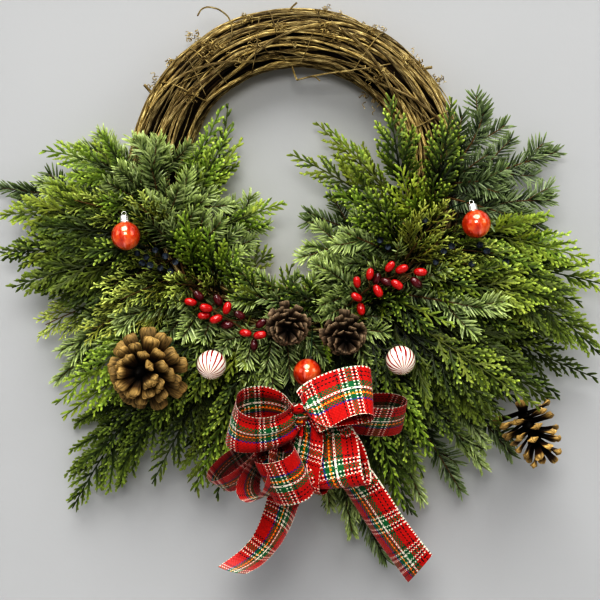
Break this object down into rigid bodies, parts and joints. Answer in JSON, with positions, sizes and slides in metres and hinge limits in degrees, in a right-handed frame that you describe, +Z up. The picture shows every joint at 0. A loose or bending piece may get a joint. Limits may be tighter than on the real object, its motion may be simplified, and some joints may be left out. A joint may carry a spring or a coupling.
{
  "type": "grapevine wreath",
  "caption": "Grapevine ring wreath for a wall, its lower half dressed with cedar, fir and juniper sprays, cones, glass balls, rose hips and a tartan bow.",
  "frame": {"origin": "hang point on the wall plane, under the inner edge of the top of the vine ring, where a nail would carry it", "axes": "+Z up, -Y the way the front faces, the wall is the plane Y = 0, +X to the right as seen from the front"},
  "size_m": [0.7393, 0.1579, 0.6867],
  "materials": {
    "vine": "dry bark, golden brown with dark gaps",
    "cedar": "satin scale leaves",
    "cedar_light": "satin scale leaves, yellow-green",
    "fir": "waxy needles, paler under",
    "juniper": "matte cords, olive",
    "cone_tan": "dry woody scales",
    "cone_dark": "dry woody scales",
    "orange_glass": "pearly orange, glossy",
    "striped_glass": "white with thin red stripes, satin",
    "cap_metal": "thin silver caps and wire",
    "florist_wire": "dark green paint",
    "rose_hips": "glossy red and maroon",
    "tartan_ribbon": "woven red, green, navy and white checks"
  },
  "bodies": {
    "root": {"bow_tie_wire": "florist_wire", "cedar_bottom_right": "cedar", "cedar_front_low_left": "cedar", "cedar_front_low_right": "cedar", "cedar_front_right": "cedar", "cedar_inside_left": "cedar", "cedar_inside_left_light": "cedar_light", "cedar_inside_low": "cedar", "cedar_inside_right": "cedar", "cedar_inside_right_up": "cedar", "cedar_left_light": "cedar_light", "cedar_left_lower": "cedar", "cedar_left_middle": "cedar", "cedar_left_upper": "cedar", "cedar_low_inner": "cedar", "cedar_low_left": "cedar", "cedar_low_left_light": "cedar_light", "cedar_over_right": "cedar", "cedar_over_right_outer": "cedar", "cedar_right_dark": "cedar", "cedar_right_droop": "cedar", "cedar_right_low": "cedar", "cedar_right_middle": "cedar", "cedar_right_upper": "cedar_light", "fir_bottom": "fir", "fir_front_left": "fir", "fir_inside_left": "fir", "fir_inside_right": "fir", "fir_left_long": "fir", "fir_left_low": "fir", "fir_left_upper": "fir", "fir_low_far_right": "fir", "fir_low_right": "fir", "fir_right_middle": "fir", "fir_right_top": "fir", "fir_right_upper": "fir", "grapevine_ring": "vine", "juniper_front_right": "juniper", "juniper_left": "juniper", "large_cone_left": "cone_tan", "large_cone_left_pick": "florist_wire", "large_cone_right": "cone_dark", "large_cone_right_pick": "florist_wire", "orange_ball_centre": "orange_glass", "orange_ball_centre_pick": "cap_metal", "orange_ball_left": "orange_glass", "orange_ball_left_pick": "cap_metal", "orange_ball_right": "orange_glass", "orange_ball_right_pick": "cap_metal", "ribbon_bow": "tartan_ribbon", "rose_hips_left": "rose_hips", "rose_hips_right": "rose_hips", "small_cone_left": "cone_dark", "small_cone_left_pick": "florist_wire", "small_cone_right": "cone_dark", "small_cone_right_pick": "florist_wire", "striped_ball_left": "striped_glass", "striped_ball_left_pick": "cap_metal", "striped_ball_right": "striped_glass", "striped_ball_right_pick": "cap_metal"}
  },
  "joints": []
}
